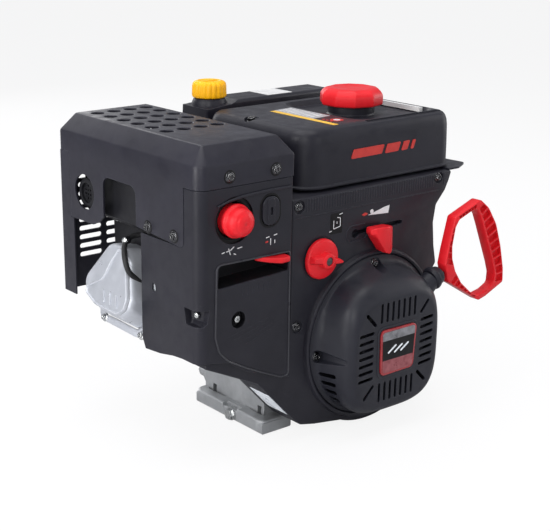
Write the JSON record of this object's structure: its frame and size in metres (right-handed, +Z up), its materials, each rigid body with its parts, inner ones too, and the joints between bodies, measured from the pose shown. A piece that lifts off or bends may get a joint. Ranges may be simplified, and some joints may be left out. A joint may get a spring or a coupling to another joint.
{
  "type": "small gasoline engine",
  "caption": "Single-cylinder four-stroke petrol engine with a horizontal keyed output shaft, rope recoil starter, top fuel tank, guarded muffler and covered carburettor.",
  "frame": {"origin": "on the base's underside (z = 0), straight under the crankshaft axis, 124 mm behind the blower housing's front plane", "axes": "+Z up, +Y along the crankshaft towards the output end, -Y towards the recoil starter, -X towards the inclined cylinder and its muffler"},
  "size_m": [0.5856, 0.3892, 0.466],
  "materials": {
    "black": "moulded, fine grain, semi-matte",
    "red": "moulded, satin gloss",
    "yellow": "moulded, satin gloss",
    "rubber": "matte",
    "rope": "braided cord",
    "cast_aluminium": "die cast, blasted",
    "painted_silver": "silver paint, satin",
    "steel": "turned and ground",
    "dark_iron": "dark, heat stained"
  },
  "bodies": {
    "engine_block": {"badge_plate": "red", "blower_housing": "black", "carburetor": "cast_aluminium", "carburetor_cover": "black", "crankcase": "cast_aluminium", "crankcase_cover": "cast_aluminium", "cylinder_head": "cast_aluminium", "cylinder_liner": "dark_iron", "exhaust_pipe": "dark_iron", "exhaust_valve_spring": "steel", "fuel_tank": "black", "head_gasket": "steel", "ignition_coil": "black", "intake_insulator": "black", "intake_valve_spring": "steel", "main_bearing_front": "steel", "main_bearing_rear": "steel", "muffler": "dark_iron", "muffler_guard": "black", "muffler_rear_panel": "black", "oil_drain_bolt": "steel", "oil_filler_tube": "black", "plug_boot_and_lead": "rubber", "primer_bezel": "rubber", "recoil_spring": "steel", "rocker_cover": "painted_silver", "rope_guide": "rubber", "spark_plug": "painted_silver", "starter_housing": "black", "tank_rear_cover": "black"},
    "crank_train": {"crankshaft": "steel", "output_shaft_key": "steel", "flywheel": "dark_iron", "cooling_fan": "black", "starter_cup": "steel", "flywheel_nut": "steel"},
    "cam": {"camshaft": "dark_iron"},
    "piston_group": {"piston": "cast_aluminium", "piston_ring": "dark_iron", "wrist_pin": "steel", "connecting_rod": "cast_aluminium", "rod_cap": "cast_aluminium"},
    "handle": {"pull_handle": "red"},
    "starter_reel": {"rope_reel": "black", "rope_coil": "rope"},
    "tank_cap": {"fuel_cap": "red"},
    "dipstick_cap": {"oil_cap": "yellow"},
    "primer": {"primer_bulb": "red"},
    "key": {"ignition_key": "rubber"},
    "choke": {"choke_lever": "red"},
    "throttle": {"throttle_lever": "red"},
    "switch": {"engine_switch_knob": "red"},
    "intake_valve_body": {"intake_valve": "steel"},
    "intake_rocker": {"intake_rocker_arm": "steel"},
    "intake_rod": {"intake_pushrod": "steel"},
    "exhaust_valve_body": {"exhaust_valve": "steel"},
    "exhaust_rocker": {"exhaust_rocker_arm": "steel"},
    "exhaust_rod": {"exhaust_pushrod": "steel"}
  },
  "joints": [
    {"name": "crank_spin", "type": "hinge", "parent": "engine_block", "child": "crank_train", "pos_m": [0, 0, 0.133], "axis": [0, 1, 0], "continuous": true},
    {"name": "cam_spin", "type": "hinge", "parent": "engine_block", "child": "cam", "pos_m": [-0.07164, 0.025, 0.09523], "axis": [0, 1, 0], "continuous": true},
    {"name": "piston_stroke", "type": "slide", "parent": "engine_block", "child": "piston_group", "axis": [0.9397, 0, -0.342], "range_m": [0, 0.066], "deforming": ["connecting_rod", "rod_cap"]},
    {"name": "handle_pull", "type": "slide", "parent": "engine_block", "child": "handle", "axis": [1, 0, 0], "range_m": [0, 0.8]},
    {"name": "reel_spin", "type": "hinge", "parent": "engine_block", "child": "starter_reel", "pos_m": [0, -0.165, 0.133], "axis": [0, 1, 0], "range_deg": [0, 870]},
    {"name": "fuel_cap_turn", "type": "hinge", "parent": "engine_block", "child": "tank_cap", "pos_m": [0.066, -0.001, 0.438], "axis": [0, 0, 1], "range_deg": [0, 90]},
    {"name": "oil_cap_turn", "type": "hinge", "parent": "engine_block", "child": "dipstick_cap", "pos_m": [-0.077, 0.153, 0.4415], "axis": [0, 0, 1], "range_deg": [0, 720]},
    {"name": "primer_press", "type": "slide", "parent": "engine_block", "child": "primer", "axis": [0, 1, 0], "range_m": [0, 0.008]},
    {"name": "key_pull", "type": "slide", "parent": "engine_block", "child": "key", "axis": [0, -1, 0], "range_m": [0, 0.02]},
    {"name": "choke_turn", "type": "hinge", "parent": "engine_block", "child": "choke", "pos_m": [-0.20989, -0.093, 0.292], "axis": [0, 0, 1], "range_deg": [-60, 0]},
    {"name": "throttle_slide", "type": "slide", "parent": "engine_block", "child": "throttle", "axis": [1, 0, 0], "range_m": [-0.03, 0.03]},
    {"name": "switch_turn", "type": "hinge", "parent": "engine_block", "child": "switch", "pos_m": [-0.099, -0.124, 0.262], "axis": [0, 1, 0], "range_deg": [0, 90]},
    {"name": "intake_valve_lift", "type": "slide", "parent": "engine_block", "child": "intake_valve_body", "axis": [0.9397, 0, -0.342], "range_m": [0, 0.008], "deforming": ["intake_valve_spring"]},
    {"name": "intake_rocker_tilt", "type": "hinge", "parent": "engine_block", "child": "intake_rocker", "pos_m": [-0.2835, 0.014, 0.20639], "axis": [0, 1, 0], "range_deg": [0, 12.9]},
    {"name": "intake_pushrod_lift", "type": "slide", "parent": "engine_block", "child": "intake_rod", "axis": [-0.9397, 0, 0.342], "range_m": [0, 0.0072]},
    {"name": "exhaust_valve_lift", "type": "slide", "parent": "engine_block", "child": "exhaust_valve_body", "axis": [0.9397, 0, -0.342], "range_m": [0, 0.008], "deforming": ["exhaust_valve_spring"]},
    {"name": "exhaust_rocker_tilt", "type": "hinge", "parent": "engine_block", "child": "exhaust_rocker", "pos_m": [-0.2835, 0.048, 0.20639], "axis": [0, 1, 0], "range_deg": [0, 12.9]},
    {"name": "exhaust_pushrod_lift", "type": "slide", "parent": "engine_block", "child": "exhaust_rod", "axis": [-0.9397, 0, 0.342], "range_m": [0, 0.0072]}
  ],
  "couplings": [
    {"joint": "cam_spin", "follows": "crank_spin", "ratio": -0.5},
    {"joint": "reel_spin", "follows": "handle_pull", "rad_per_m": 18.87},
    {"joint": "intake_rocker_tilt", "follows": "intake_valve_lift", "rad_per_m": 27.78},
    {"joint": "intake_pushrod_lift", "follows": "intake_valve_lift", "ratio": 0.8889},
    {"joint": "exhaust_rocker_tilt", "follows": "exhaust_valve_lift", "rad_per_m": 27.78},
    {"joint": "exhaust_pushrod_lift", "follows": "exhaust_valve_lift", "ratio": 0.8889}
  ]
}
